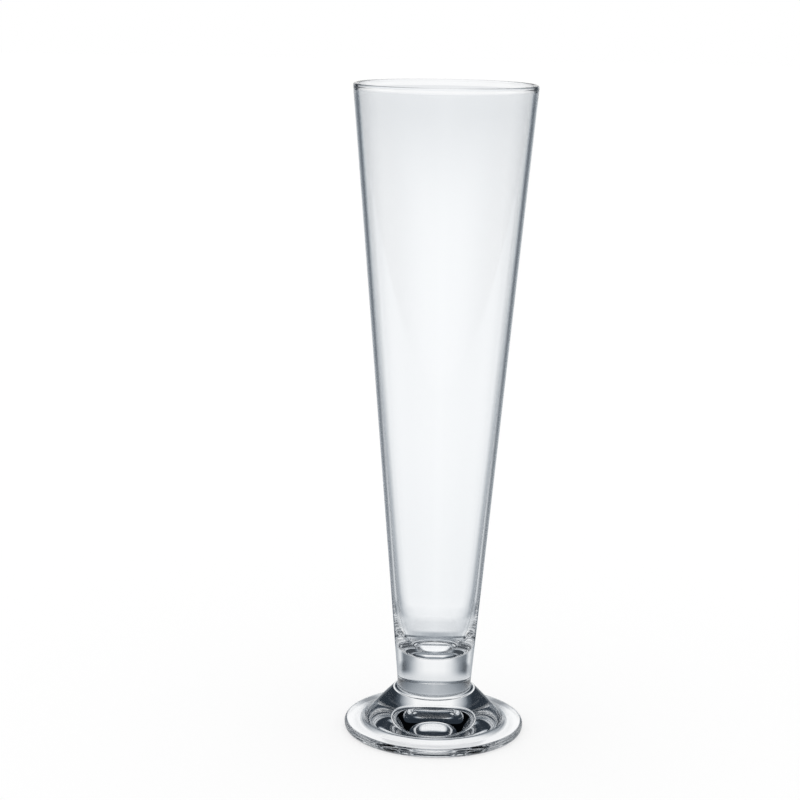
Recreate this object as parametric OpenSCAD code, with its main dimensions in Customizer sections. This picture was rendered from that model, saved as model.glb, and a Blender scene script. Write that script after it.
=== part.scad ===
// Footed pilsner glass: a tall straight cone of glass fused to a pressed, hollow-bottomed foot.
// Millimetres. The origin is on the table, on the glass's axis, and +Z points up to the lip.

/* [Overall] */
// Height of the glass from the table to the top of the lip
glass_h = 240; // [200:1:280]
// Height of the fused joint between the foot and the bowl above the table
joint_h = 15.6; // [14:0.2:20]

/* [Bowl] */
// Outer diameter of the cone at the lip
lip_d = 66; // [60:0.5:74]
// Outer diameter of the cone at the joint, without its fillet
base_d = 27; // [24:0.5:30]
// Wall thickness just under the lip
lip_wall = 1.3; // [1.2:0.1:2.4]
// Diameter of the fire-polished bead along the lip
lip_bead_d = 1.6; // [1.5:0.1:3]
// Wall thickness at the lower end of the straight wall, above the heel
low_wall = 1.8; // [1.4:0.1:2.6]
// Height over which the inside narrows from the straight wall to the floor
heel_h = 30; // [24:1:60]
// How full the heel's curve is: 2 is an ellipse, and more comes nearer to a square corner
heel_fullness = 3; // [2:0.1:4]
// Diameter of the flat middle of the inside floor
floor_d = 10; // [6:0.5:12.5]
// Thickness of the solid base between the joint and the inside floor
base_t = 13.8; // [8:0.2:20]
// Radius of the fillet where the bowl's base runs out onto the collar
fillet_r = 1.9; // [1.7:0.1:3]
// How far the fillet carries the base out past the cone
fillet_w = 1.4; // [0.8:0.1:1.5]

/* [Foot] */
// How far the foot stands out past the lip
foot_margin = 0.5; // [-2:0.5:4]
// How far the collar stands out past the bowl's fillet
collar_ledge = 0.8; // [0.8:0.1:2]
// Radius of the collar's rounded shoulder
collar_round = 0.7; // [0.4:0.1:0.8]
// Width of the flat brim, outside the line where the flank runs into it
brim_w = 6.5; // [6:0.5:10]
// Radius of the blend between the flank and the brim
flank_blend = 5.5; // [2:0.5:6]
// Thickness of the brim
brim_t = 3.4; // [3:0.1:4.5]
// Radius of the brim's rounded outer edges
brim_round = 1.4; // [0.8:0.1:1.4]

/* [Underside] */
// Width of the ring that the foot stands on, with its rounded outer edge
ring_w = 6.5; // [5:0.5:10]
// Height of the hollow at the axis
hollow_h = 5.9; // [4:0.1:8]

/* [Hidden] */
$fn = 180;
glass_colour = [0.86, 0.89, 0.91, 0.45];
// Steps in a quarter turn of a small round, and along the heel's long curve
round_steps = 8;
heel_steps = 24;

lip_r = lip_d / 2;
base_r = base_d / 2;
bead_r = lip_bead_d / 2;
foot_r = lip_r + foot_margin;
floor_r = floor_d / 2;
floor_z = joint_h + base_t;
heel_z = floor_z + heel_h;
bead_z = glass_h - bead_r;
cone_slope = (lip_r - base_r) / (bead_z - joint_h);
wall_angle = atan(cone_slope);

// Outer radius of the cone at a height
function outer_r(z) = base_r + (z - joint_h) * cone_slope;

// Inner radius at the two ends of the straight wall, and its slope between them
bead_foot_z = glass_h - 2.5 * bead_r;
lip_inner_r = outer_r(bead_foot_z) - lip_wall;
heel_r = outer_r(heel_z) - low_wall;
inner_slope = (lip_inner_r - heel_r) / (bead_foot_z - heel_z);

// Points on a circle in the half-plane of radius and height, from one angle to another
function arc(centre_r, centre_z, radius, from, to) =
    [for (i = [0 : round_steps])
        let (a = from + (to - from) * i / round_steps)
        [centre_r + radius * cos(a), centre_z + radius * sin(a)]];

// The heel is a quarter of a superellipse, sheared so that it leaves the straight wall without a corner
heel_lean = inner_slope * heel_h;
heel_reach = heel_r - floor_r - heel_lean;
heel_power = 2 / heel_fullness;
function heel_point(a) =
    let (out = pow(cos(a), heel_power), down = pow(sin(a), heel_power))
    [floor_r + heel_lean + heel_reach * out - heel_lean * down, heel_z - heel_h * down];

// The fillet's circle is tangent to the cone and passes through the outer edge of the joint
seat_r = base_r + fillet_w;
fillet_gap = base_r + fillet_r / cos(wall_angle) - seat_r;
fillet_rise = cos(wall_angle) * (sqrt(pow(fillet_r, 2) - pow(fillet_gap * cos(wall_angle), 2))
    - fillet_gap * sin(wall_angle));
fillet_centre_r = seat_r + fillet_gap + cone_slope * fillet_rise;
fillet_centre_z = joint_h + fillet_rise;
fillet_end = 360 + atan2(-fillet_rise, seat_r - fillet_centre_r);

// The bead is flush with the cone outside and stands a little into the mouth
module bowl() {
    bead_centre_r = lip_r - bead_r;
    color(glass_colour)
    rotate_extrude()
    polygon(concat(
        [[0, joint_h]],
        arc(fillet_centre_r, fillet_centre_z, fillet_r, fillet_end, 180 - wall_angle),
        arc(bead_centre_r, bead_z, bead_r, -wall_angle, 90),
        arc(bead_centre_r, bead_z, bead_r, 90, 210),
        [[lip_inner_r, bead_foot_z]],
        [for (i = [0 : heel_steps]) heel_point(90 * i / heel_steps)],
        [[0, floor_z]]
    ));
}

// Straight flank from the collar's shoulder to the brim, tangent to both rounds
shoulder_r = seat_r + collar_ledge - collar_round;
shoulder_z = joint_h - collar_round;
flank_r = foot_r - brim_w;
blend_z = brim_t + flank_blend;
flank_run = flank_r - shoulder_r;
flank_drop = shoulder_z - brim_t;
flank_angle = atan2(flank_drop, flank_run) + asin(collar_round / norm([flank_run, flank_drop]));
flank_normal = 90 - flank_angle;
blend_r = flank_r + flank_blend * tan(flank_angle / 2);

// The hollow is a shallow dome, part of a sphere
hollow_r = foot_r - ring_w;
dome_r = (hollow_r * hollow_r + hollow_h * hollow_h) / (2 * hollow_h);
dome_angle = asin(hollow_r / dome_r);

module foot() {
    edge_r = foot_r - brim_round;
    color(glass_colour)
    rotate_extrude()
    polygon(concat(
        [[0, joint_h]],
        arc(shoulder_r, shoulder_z, collar_round, 90, flank_normal),
        arc(blend_r, blend_z, flank_blend, 180 + flank_normal, 270),
        arc(edge_r, brim_t - brim_round, brim_round, 90, 0),
        arc(edge_r, brim_round, brim_round, 0, -90),
        arc(0, hollow_h - dome_r, dome_r, 90 - dome_angle, 90)
    ));
}

bowl();
foot();
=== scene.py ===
"""A tall footed pilsner glass in clear glass, dressed over its CAD frame and set in a bright-field studio."""
import math

import bmesh
import bpy
from mathutils import Matrix, Vector


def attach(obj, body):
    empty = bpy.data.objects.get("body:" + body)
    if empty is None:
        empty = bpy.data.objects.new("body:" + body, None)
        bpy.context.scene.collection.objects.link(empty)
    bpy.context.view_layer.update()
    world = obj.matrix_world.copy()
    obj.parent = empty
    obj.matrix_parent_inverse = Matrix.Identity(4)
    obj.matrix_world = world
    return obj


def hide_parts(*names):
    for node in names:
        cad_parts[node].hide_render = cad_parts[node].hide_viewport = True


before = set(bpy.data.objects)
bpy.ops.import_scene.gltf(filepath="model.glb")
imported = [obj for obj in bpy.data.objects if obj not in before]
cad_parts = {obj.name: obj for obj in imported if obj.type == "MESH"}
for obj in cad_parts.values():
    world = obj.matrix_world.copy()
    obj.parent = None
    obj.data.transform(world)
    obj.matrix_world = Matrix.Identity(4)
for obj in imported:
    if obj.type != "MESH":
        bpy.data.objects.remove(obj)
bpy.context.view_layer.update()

MM = 0.001

# The glass, in millimetres: the same sizes as the CAD model.
GLASS_H = 240.0
JOINT_H = 15.6
LIP_D = 66.0
BASE_D = 27.0
LIP_WALL = 1.3
LIP_BEAD_D = 1.6
LOW_WALL = 1.8
HEEL_H = 30.0
HEEL_FULLNESS = 3.0
FLOOR_D = 10.0
BASE_T = 13.8
FILLET_R = 1.9
FILLET_W = 1.4
FOOT_MARGIN = 0.5
COLLAR_LEDGE = 0.8
COLLAR_ROUND = 0.7
BRIM_W = 6.5
FLANK_BLEND = 5.5
BRIM_T = 3.4
BRIM_ROUND = 1.4
RING_W = 6.5
HOLLOW_H = 5.9

# Facets around the axis and along the curves of the profile, and the rings close under the lip that keep
# its shading off the wall: their number, and how many times closer than the wall's rings they lie.
TURN_STEPS = 288
WALL_STEPS = 30
HEEL_STEPS = 64
HOLLOW_STEPS = 56
ROUND_STEPS = 12
BRIM_STEPS = 4
CARD_STEPS = 96
SUPPORT_RINGS = 2
SUPPORT_FINER = 12
SHARP_ANGLE = math.radians(30)

# The lip's bead: how far round it goes, in degrees, and how far down the wall begins, in bead radii.
BEAD_END = 210
BEAD_REACH = 2.5

# Finish. Where the glass is seen at a grazing angle its colour takes the edge tint, a painted shade that
# darkens its edges, between two values of Facing, and this painted shade fades out between two heights near
# the lip, in millimetres.
GLASS_TINT = (0.985, 0.993, 1.0, 1)
GRAZING_SHADE = (0.3, 0.34, 0.38, 1)
EDGE_FACING = (0.65, 0.85)
LIP_CLEAR = (235.5, 237.5)
GLASS_IOR = 1.5
# Waves are the size and height of the surface's slow unevenness, in millimetres.
BOWL_WAVE = (22.0, 0.006)
FOOT_WAVE = (11.0, 0.012)
# Fine wear on the standing ring: the size of its patches and its height in millimetres, and its roughness.
SCUFF_LENGTH = 0.5
SCUFF_H = 0.3
SCUFF_PATCHES = (0.4, 0.7)
SCUFF_ROUGHNESS = 0.06

# Studio cards that the glass sees and the camera doesn't: a dome, DOME_R metres in radius, and a disc on the
# table. Angles are in degrees, folded left to right, from 0 straight behind or in front to 90 at the sides.
# A pair is an angle and how much white is left there. Four numbers are a ramp: start, end and both values.
DOME_R = 5.0
DOME_BACK = ((0, 1), (9, 1), (14, 0.6), (19, 0.1), (24, 0), (90, 0))
DOME_FRONT = ((0, 0.4), (30, 0.25), (60, 0.06), (90, 0))
# The white beside the glass by angle, and by degrees above the table.
DOME_BESIDE = (66, 80, 0, 0.85)
BESIDE_FOOT = (21, 25, 0, 1)
# Degrees above the table where all panels end, and the white horizon in front by height and by angle.
DOME_TOP = (34, 42)
HORIZON = (5, 10, 0.85, 0)
HORIZON_SIDE = (20, 90, 1, 0)
DOME_DARK = 0.03
# Zones of the table, outwards: where each one blends in, in metres, and its white behind and in front. The
# grey under the hollow and the zones under the foot and just round it are a painted shadow of the glass on
# the table.
UNDER_HOLLOW_SHADE = 0.3
MID_SIDE = (
    (0, 0.97), (8, 0.95), (14, 0.8), (20, 0.52), (26, 0.24), (32, 0.09),
    (38, 0.06), (45, 0.4), (58, 0.5), (72, 0.7), (90, 0.85),
)
FAR_SIDE = (
    (0, 1), (10, 0.98), (13, 0.9), (15.5, 0.76), (18, 0.58), (20.5, 0.42), (23.5, 0.3), (30, 0.18),
    (36, 0.14), (41, 0.5), (45, 0.78), (50, 0.7), (56, 0.5), (62, 0.5), (72, 0.6), (90, 0.8),
)
# The first three zones, under the foot and just round it, hold a painted shadow of the glass on the table.
ZONES = (
    (
        (0.008, 0.013),
        ((0, 0.55), (12, 0.28), (24, 0.12), (50, 0.06), (90, 0.12)),
        ((0, 1), (50, 1), (65, 0.6), (90, 0.12)),
    ),
    (
        (0.0245, 0.0275),
        ((0, 0.35), (14, 0.3), (22, 0.65), (38, 0.6), (46, 0.2), (54, 0.2), (68, 0.95), (90, 1)),
        ((0, 0.9), (60, 0.95), (90, 1)),
    ),
    (
        (0.0348, 0.0365),
        ((0, 0.4), (20, 0.1), (50, 0.05), (90, 0.12)),
        ((0, 0.05), (90, 0.12)),
    ),
    (
        (0.039, 0.043),
        ((0, 0.45), (24, 0.65), (36, 0.85), (50, 1), (70, 1), (90, 0.85)),
        ((0, 0.55), (90, 0.55)),
    ),
    (
        (0.05, 0.06),
        ((0, 0.85), (12, 0.8), (24, 0.68), (36, 0.65), (50, 0.7), (70, 0.8), (90, 0.5)),
        ((0, 0.85), (90, 0.6)),
    ),
    ((0.08, 0.1), MID_SIDE, ((0, 0.9), (90, 0.85))),
    ((0.11, 0.126), FAR_SIDE, ((0, 0.8), (60, 0.7), (90, 0.75))),
)
# The table's slow greys: the distances in metres over which they change, and their first and last value.
FAR_GREY = (0.9, 3.9, 1.0, 0.87)
MID_GREY = (0.12, 0.5, 0.96, 1.0)
# The cards are a blue-grey film: the power by which each colour thins out.
FILM = (1.08, 1.0, 0.92)

# Camera, fitted to the picture: millimetres, degrees, and a focal length in picture widths.
CAMERA_BACK = 727.5
CAMERA_UP = 278.0
CAMERA_PAN = 1.146
CAMERA_TILT = 11.849
CAMERA_ROLL = 0.935
CAMERA_FOCAL = 2035.5 / 800
SENSOR = 36.0
CLIP_START = 0.01

# Table: half its width in metres, how far it and the card on it lie below the glass in millimetres, its
# colour, how strongly it glows to the camera, and the share of that glow in what the camera sees.
FLOOR_HALF = 6.0
FLOOR_DROP = -0.05
CARD_DROP = -0.03
FLOOR_COLOUR = (0.9, 0.9, 0.9, 1)
FLOOR_GLOW = 1.08
GLOW_SHARE = 0.6

# How often a ray may pass through glass or bounce off it.
BOUNCES = 32


def arc(centre_r, centre_z, radius, start, end, steps=ROUND_STEPS):
    """Points of a circular arc in the (radius, height) plane, angles in degrees."""
    points = []
    for i in range(steps + 1):
        a = math.radians(start + (end - start) * i / steps)
        points.append((centre_r + radius * math.cos(a), centre_z + radius * math.sin(a)))
    return points


def between(p, q, steps):
    """Points strictly between p and q."""
    return [(p[0] + (q[0] - p[0]) * i / steps, p[1] + (q[1] - p[1]) * i / steps) for i in range(1, steps)]


def bowl_profile():
    """The bowl's half section, from the middle of the joint round the outside and the lip to the floor."""
    base_r = BASE_D / 2
    bead_r = LIP_BEAD_D / 2
    bead_z = GLASS_H - bead_r
    bead_centre = LIP_D / 2 - bead_r
    slope = (LIP_D / 2 - base_r) / (bead_z - JOINT_H)
    lean = math.degrees(math.atan(slope))

    def outer_r(z):
        return base_r + (z - JOINT_H) * slope

    # The fillet is a circle tangent to the cone that meets the joint FILLET_W outside the cone's base.
    centre_r, centre_z = fillet_centre(base_r, slope)
    fillet_end = math.degrees(math.atan2(JOINT_H - centre_z, base_r + FILLET_W - centre_r)) % 360
    fillet = arc(centre_r, centre_z, FILLET_R, fillet_end, 180 - lean)

    bead = arc(bead_centre, bead_z, bead_r, -lean, BEAD_END, 3 * ROUND_STEPS)
    top_z = GLASS_H - BEAD_REACH * bead_r
    wall_top = (outer_r(top_z) - LIP_WALL, top_z)
    floor_z = JOINT_H + BASE_T
    heel_z = floor_z + HEEL_H
    heel_r = outer_r(heel_z) - LOW_WALL
    shear = (wall_top[0] - heel_r) / (wall_top[1] - heel_z) * HEEL_H
    reach = heel_r - FLOOR_D / 2 - shear
    heel = []
    for i in range(HEEL_STEPS + 1):
        a = math.pi / 2 * i / HEEL_STEPS
        out = max(math.cos(a), 0) ** (2 / HEEL_FULLNESS)
        down = math.sin(a) ** (2 / HEEL_FULLNESS)
        heel.append((FLOOR_D / 2 + shear + reach * out - shear * down, heel_z - HEEL_H * down))

    points = [(0, JOINT_H)] + fillet
    points += between(fillet[-1], bead[0], WALL_STEPS) + bead
    points += [wall_top] + between(wall_top, heel[0], WALL_STEPS * SUPPORT_FINER)[:SUPPORT_RINGS]
    points += between(wall_top, heel[0], WALL_STEPS) + heel
    return points + [(0, floor_z)]


def fillet_centre(base_r, slope):
    """Centre of the fillet's circle: FILLET_R off the cone, FILLET_R from the joint's rim."""
    offset = base_r + FILLET_R * math.hypot(1, slope)
    rim_r = base_r + FILLET_W
    a = 1 + slope * slope
    b = slope * (offset - rim_r)
    c = (offset - rim_r) ** 2 - FILLET_R ** 2
    rise = (-b + math.sqrt(b * b - a * c)) / a
    return offset + slope * rise, JOINT_H + rise


def foot_profile():
    """The foot's half section, from the middle of the joint over the collar and brim to the hollow's top."""
    seat_r = BASE_D / 2 + FILLET_W
    foot_r = LIP_D / 2 + FOOT_MARGIN
    shoulder_r = seat_r + COLLAR_LEDGE - COLLAR_ROUND
    shoulder_z = JOINT_H - COLLAR_ROUND
    flank_r = foot_r - BRIM_W
    run = flank_r - shoulder_r
    drop = shoulder_z - BRIM_T
    fall = math.degrees(math.atan2(drop, run) + math.asin(COLLAR_ROUND / math.hypot(run, drop)))
    blend_r = flank_r + FLANK_BLEND * math.tan(math.radians(fall / 2))
    edge_r = foot_r - BRIM_ROUND
    hollow_r = foot_r - RING_W
    dome_r = (hollow_r ** 2 + HOLLOW_H ** 2) / (2 * HOLLOW_H)
    dome_angle = math.degrees(math.asin(hollow_r / dome_r))

    collar = arc(shoulder_r, shoulder_z, COLLAR_ROUND, 90, 90 - fall)
    blend = arc(blend_r, BRIM_T + FLANK_BLEND, FLANK_BLEND, 270 - fall, 270, 2 * ROUND_STEPS)
    edge = arc(edge_r, BRIM_T - BRIM_ROUND, BRIM_ROUND, 90, 0)
    edge += arc(edge_r, BRIM_ROUND, BRIM_ROUND, 0, -90)
    hollow = arc(0, HOLLOW_H - dome_r, dome_r, 90 - dome_angle, 90, HOLLOW_STEPS)
    points = [(0, JOINT_H), (seat_r, JOINT_H)] + collar
    points += between(collar[-1], blend[0], ROUND_STEPS) + blend
    points += between(blend[-1], edge[0], BRIM_STEPS) + edge + hollow
    points[-1] = (0, HOLLOW_H)
    return points


def lathe(name, profile, materials):
    """A closed mesh of the profile turned about the axis. Its first band, the joint, has its own material."""
    mesh = bpy.data.meshes.new(name)
    bm = bmesh.new()
    rings = []
    for r, z in profile:
        if r < 1e-6:
            rings.append([bm.verts.new((0, 0, z * MM))])
            continue
        turn = [2 * math.pi * i / TURN_STEPS for i in range(TURN_STEPS)]
        rings.append([bm.verts.new((r * math.cos(a) * MM, r * math.sin(a) * MM, z * MM)) for a in turn])
    for band, (low, high) in enumerate(zip(rings, rings[1:])):
        for i in range(TURN_STEPS):
            j = (i + 1) % TURN_STEPS
            corners = [low[0]] if len(low) == 1 else [low[i], low[j]]
            corners += [high[0]] if len(high) == 1 else [high[j], high[i]]
            face = bm.faces.new(corners)
            face.smooth = True
            face.material_index = 1 if band == 0 else 0
    bmesh.ops.recalc_face_normals(bm, faces=bm.faces)
    for edge in bm.edges:
        edge.smooth = edge.calc_face_angle(0) < SHARP_ANGLE
    bm.to_mesh(mesh)
    bm.free()
    for material in materials:
        mesh.materials.append(material)
    piece = bpy.data.objects.new(name, mesh)
    bpy.context.scene.collection.objects.link(piece)
    return piece


def glass_material(name, wave_length, wave_height):
    """Clear soda-lime glass, faintly cool: a slight waviness all over, fine wear where it stands, and a
    painted shade that darkens it where it is seen at a grazing angle, except near the lip.
    """
    material = bpy.data.materials.new(name)
    material.use_nodes = True
    tree = material.node_tree
    shader = tree.nodes["Principled BSDF"]
    # Base colour: the glass's own faint tint, mixed towards a painted edge shade where it is seen at a
    # grazing angle.
    tint = tree.nodes.new("ShaderNodeMix")
    tint.data_type = "RGBA"
    tint.inputs["A"].default_value = GLASS_TINT
    tint.inputs["B"].default_value = GRAZING_SHADE
    tree.links.new(tint.outputs["Result"], shader.inputs["Base Color"])
    shader.inputs["IOR"].default_value = GLASS_IOR
    shader.inputs["Transmission Weight"].default_value = 1.0
    place = tree.nodes.new("ShaderNodeTexCoord")

    waves = tree.nodes.new("ShaderNodeTexNoise")
    waves.inputs["Scale"].default_value = 1 / (wave_length * MM)
    waves.inputs["Detail"].default_value = 1.0
    tree.links.new(place.outputs["Object"], waves.inputs["Vector"])
    bump = tree.nodes.new("ShaderNodeBump")
    bump.inputs["Strength"].default_value = 1.0
    bump.inputs["Distance"].default_value = wave_height * MM
    tree.links.new(waves.outputs["Fac"], bump.inputs["Height"])
    tree.links.new(bump.outputs["Normal"], shader.inputs["Normal"])

    scuffs = tree.nodes.new("ShaderNodeTexNoise")
    scuffs.inputs["Scale"].default_value = 1 / (SCUFF_LENGTH * MM)
    scuffs.inputs["Detail"].default_value = 6.0
    tree.links.new(place.outputs["Object"], scuffs.inputs["Vector"])
    height = tree.nodes.new("ShaderNodeSeparateXYZ")
    tree.links.new(place.outputs["Object"], height.inputs[0])
    m = Maths(tree)
    # Painted shade: towards grazing angles the colour darkens to the edge shade, except near the lip.
    grazing = tree.nodes.new("ShaderNodeLayerWeight")
    below_lip = m.ramp(height.outputs["Z"], LIP_CLEAR[0] * MM, LIP_CLEAR[1] * MM, 1, 0)
    edge = m.ramp(grazing.outputs["Facing"], *EDGE_FACING, 0, 1)
    m.feed(tint.inputs["Factor"], m.do("MULTIPLY", edge, below_lip))
    worn = m.ramp(height.outputs["Z"], 0, SCUFF_H * MM, 1, 0)
    patchy = m.ramp(scuffs.outputs["Fac"], *SCUFF_PATCHES, 0, SCUFF_ROUGHNESS)
    tree.links.new(m.do("MULTIPLY", worn, patchy), shader.inputs["Roughness"])
    return material


def fused_material():
    """The joint's inside faces, where the two pieces of glass have become one: nothing to see."""
    material = bpy.data.materials.new("fused_joint")
    material.use_nodes = True
    nodes = material.node_tree.nodes
    nodes.clear()
    out = nodes.new("ShaderNodeOutputMaterial")
    clear = nodes.new("ShaderNodeBsdfTransparent")
    material.node_tree.links.new(clear.outputs[0], out.inputs["Surface"])
    return material


class Maths:
    """Shorthand for chains of math nodes in one node tree."""

    def __init__(self, tree):
        self.tree = tree

    def do(self, operation, *values):
        node = self.tree.nodes.new("ShaderNodeMath")
        node.operation = operation
        for socket, value in zip(node.inputs, values):
            self.feed(socket, value)
        return node.outputs[0]

    def ramp(self, value, start, end, low, high):
        node = self.tree.nodes.new("ShaderNodeMapRange")
        node.interpolation_type = "SMOOTHSTEP"
        for socket, v in zip(node.inputs, (value, start, end, low, high)):
            self.feed(socket, v)
        return node.outputs[0]

    def between(self, first, second, share):
        return self.do("ADD", first, self.do("MULTIPLY", self.do("SUBTRACT", second, first), share))

    def feed(self, socket, value):
        if isinstance(value, (int, float, tuple)):
            socket.default_value = value
        else:
            self.tree.links.new(value, socket)


def folded_angle(m, x, y):
    """Degrees from straight behind or in front of the glass, 0, to its sides, 90."""
    return m.do("MULTIPLY", m.do("ARCTAN2", m.do("ABSOLUTE", x), m.do("ABSOLUTE", y)), 180 / math.pi)


def sectors(tree, angle, stops):
    """White by angle, from pairs of an angle and a value."""
    node = tree.nodes.new("ShaderNodeValToRGB")
    elements = node.color_ramp.elements
    elements[1].position = 1
    while len(elements) < len(stops):
        elements.new(0.5)
    for element, (at, white) in zip(elements, stops):
        element.position = at / 90
        element.color = (white, white, white, 1)
    tree.links.new(Maths(tree).do("DIVIDE", angle, 90), node.inputs["Fac"])
    return node.outputs["Color"]


def card(name, mesh, paint):
    """A card of dark film, thinned out to let white through. Only rays that have met the glass see it."""
    piece = bpy.data.objects.new(name, mesh)
    bpy.context.scene.collection.objects.link(piece)
    piece.visible_camera = False
    piece.visible_diffuse = False
    piece.visible_shadow = False
    material = bpy.data.materials.new(name)
    mesh.materials.append(material)
    material.use_nodes = True
    tree = material.node_tree
    tree.nodes.clear()
    m = Maths(tree)
    place = tree.nodes.new("ShaderNodeTexCoord")
    where = tree.nodes.new("ShaderNodeSeparateXYZ")
    tree.links.new(place.outputs["Object"], where.inputs[0])
    white = paint(m, *where.outputs)
    tint = tree.nodes.new("ShaderNodeCombineColor")
    for socket, power in zip(tint.inputs, FILM):
        m.feed(socket, m.do("POWER", white, power))
    film = tree.nodes.new("ShaderNodeBsdfTransparent")
    tree.links.new(tint.outputs[0], film.inputs["Color"])
    out = tree.nodes.new("ShaderNodeOutputMaterial")
    tree.links.new(film.outputs[0], out.inputs["Surface"])


def dome_white(m, x, y, z):
    """White behind the glass and beside it, softer white and a white horizon in front, and dark above."""
    height = m.do("MULTIPLY", m.do("ARCSINE", m.do("DIVIDE", z, DOME_R)), 180 / math.pi)
    angle = folded_angle(m, x, y)
    behind = m.do("GREATER_THAN", y, 0)
    panels = m.between(sectors(m.tree, angle, DOME_FRONT), sectors(m.tree, angle, DOME_BACK), behind)
    beside = m.do("MULTIPLY", m.ramp(angle, *DOME_BESIDE), m.ramp(height, *BESIDE_FOOT))
    panels = m.do("MULTIPLY", m.do("MAXIMUM", panels, beside), m.ramp(height, *DOME_TOP, 1, 0))
    ahead = m.do("MULTIPLY", m.ramp(angle, *HORIZON_SIDE), m.do("SUBTRACT", 1, behind))
    horizon = m.do("MULTIPLY", m.ramp(height, *HORIZON), ahead)
    return m.do("MAXIMUM", m.do("MAXIMUM", panels, horizon), DOME_DARK)


def table_white(m, x, y, z):
    """Zone after zone outwards from a painted shadow of the glass under its foot, each blended over the ones
    inside it, and greyer far away.
    """
    away = m.do("SQRT", m.do("ADD", m.do("MULTIPLY", x, x), m.do("MULTIPLY", y, y)))
    angle = folded_angle(m, x, y)
    behind = m.do("GREATER_THAN", y, 0)
    # Start from the painted shadow under the hollow.
    white = UNDER_HOLLOW_SHADE
    for start, back, front in ZONES:
        zone = m.between(sectors(m.tree, angle, front), sectors(m.tree, angle, back), behind)
        white = m.between(white, zone, m.ramp(away, *start, 0, 1))
    return m.do("MULTIPLY", m.do("MULTIPLY", white, m.ramp(away, *FAR_GREY)), m.ramp(away, *MID_GREY))


def studio_cards():
    """Dark cards on the table and around the glass, as a photographer sets them to draw its edges; the table
    card also carries a painted shadow of the glass under and round its foot.
    """
    bm = bmesh.new()
    bmesh.ops.create_uvsphere(bm, u_segments=CARD_STEPS, v_segments=CARD_STEPS // 2, radius=DOME_R)
    bmesh.ops.delete(bm, geom=[v for v in bm.verts if v.co.z < -1e-4], context="VERTS")
    dome = bpy.data.meshes.new("dome_card")
    bm.to_mesh(dome)
    bm.free()
    card("dome_card", dome, dome_white)
    table = bpy.data.meshes.new("table_card")
    turn = [2 * math.pi * i / CARD_STEPS for i in range(CARD_STEPS)]
    rim = [(DOME_R * math.cos(a), DOME_R * math.sin(a), CARD_DROP * MM) for a in turn]
    table.from_pydata(rim, [], [tuple(range(CARD_STEPS))])
    card("table_card", table, table_white)


def white_world():
    """Plain soft white light from everywhere, which is also the white background."""
    world = bpy.data.worlds.new("studio")
    bpy.context.scene.world = world
    world.use_nodes = True
    background = world.node_tree.nodes["Background"]
    background.inputs["Color"].default_value = (1, 1, 1, 1)
    background.inputs["Strength"].default_value = 1


def pale_floor():
    """A plain white table that keeps the glass's soft shadow, and glows to the camera and in the glass."""
    mesh = bpy.data.meshes.new("floor")
    corners = [(-1, -1), (1, -1), (1, 1), (-1, 1)]
    points = [(FLOOR_HALF * x, FLOOR_HALF * y, FLOOR_DROP * MM) for x, y in corners]
    mesh.from_pydata(points, [], [(0, 1, 2, 3)])
    floor = bpy.data.objects.new("floor", mesh)
    bpy.context.scene.collection.objects.link(floor)
    material = bpy.data.materials.new("white_table")
    mesh.materials.append(material)
    material.use_nodes = True
    tree = material.node_tree
    tree.nodes.clear()
    m = Maths(tree)
    lit = tree.nodes.new("ShaderNodeBsdfDiffuse")
    lit.inputs["Color"].default_value = FLOOR_COLOUR
    glow = tree.nodes.new("ShaderNodeEmission")
    rays = tree.nodes.new("ShaderNodeLightPath")
    m.feed(glow.inputs["Strength"], m.between(1, FLOOR_GLOW, rays.outputs["Is Camera Ray"]))
    shown = m.do("MAXIMUM", rays.outputs["Is Glossy Ray"], rays.outputs["Is Transmission Ray"])
    shown = m.do("MAXIMUM", shown, m.do("MULTIPLY", rays.outputs["Is Camera Ray"], GLOW_SHARE))
    mix = tree.nodes.new("ShaderNodeMixShader")
    m.feed(mix.inputs[0], shown)
    tree.links.new(lit.outputs[0], mix.inputs[1])
    tree.links.new(glow.outputs[0], mix.inputs[2])
    out = tree.nodes.new("ShaderNodeOutputMaterial")
    tree.links.new(mix.outputs[0], out.inputs["Surface"])


def photo_camera():
    """The camera at the photograph's viewing angle."""
    data = bpy.data.cameras.new("camera")
    data.sensor_width = SENSOR
    data.lens = CAMERA_FOCAL * SENSOR
    data.clip_start = CLIP_START
    camera = bpy.data.objects.new("camera", data)
    bpy.context.scene.collection.objects.link(camera)
    bpy.context.scene.camera = camera
    pan, tilt, roll = (math.radians(v) for v in (CAMERA_PAN, CAMERA_TILT, CAMERA_ROLL))
    ahead = Vector((-math.sin(pan) * math.cos(tilt), math.cos(pan) * math.cos(tilt), -math.sin(tilt)))
    level = Vector((math.cos(pan), math.sin(pan), 0))
    upright = level.cross(ahead)
    right = math.cos(roll) * level + math.sin(roll) * upright
    up = math.cos(roll) * upright - math.sin(roll) * level
    place = Matrix((right, up, -ahead)).transposed().to_4x4()
    place.translation = Vector((0, -CAMERA_BACK, CAMERA_UP)) * MM
    camera.matrix_world = place


fused = fused_material()
for node, profile, wave in (("bowl", bowl_profile(), BOWL_WAVE), ("foot", foot_profile(), FOOT_WAVE)):
    piece = lathe("glass_" + node, profile, [glass_material(node + "_glass", *wave), fused])
    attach(piece, "root")
    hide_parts(node)

pale_floor()
white_world()
studio_cards()
photo_camera()

scene = bpy.context.scene
scene.view_settings.view_transform = "Standard"
scene.cycles.max_bounces = BOUNCES
scene.cycles.glossy_bounces = BOUNCES
scene.cycles.transmission_bounces = BOUNCES
scene.cycles.transparent_max_bounces = BOUNCES
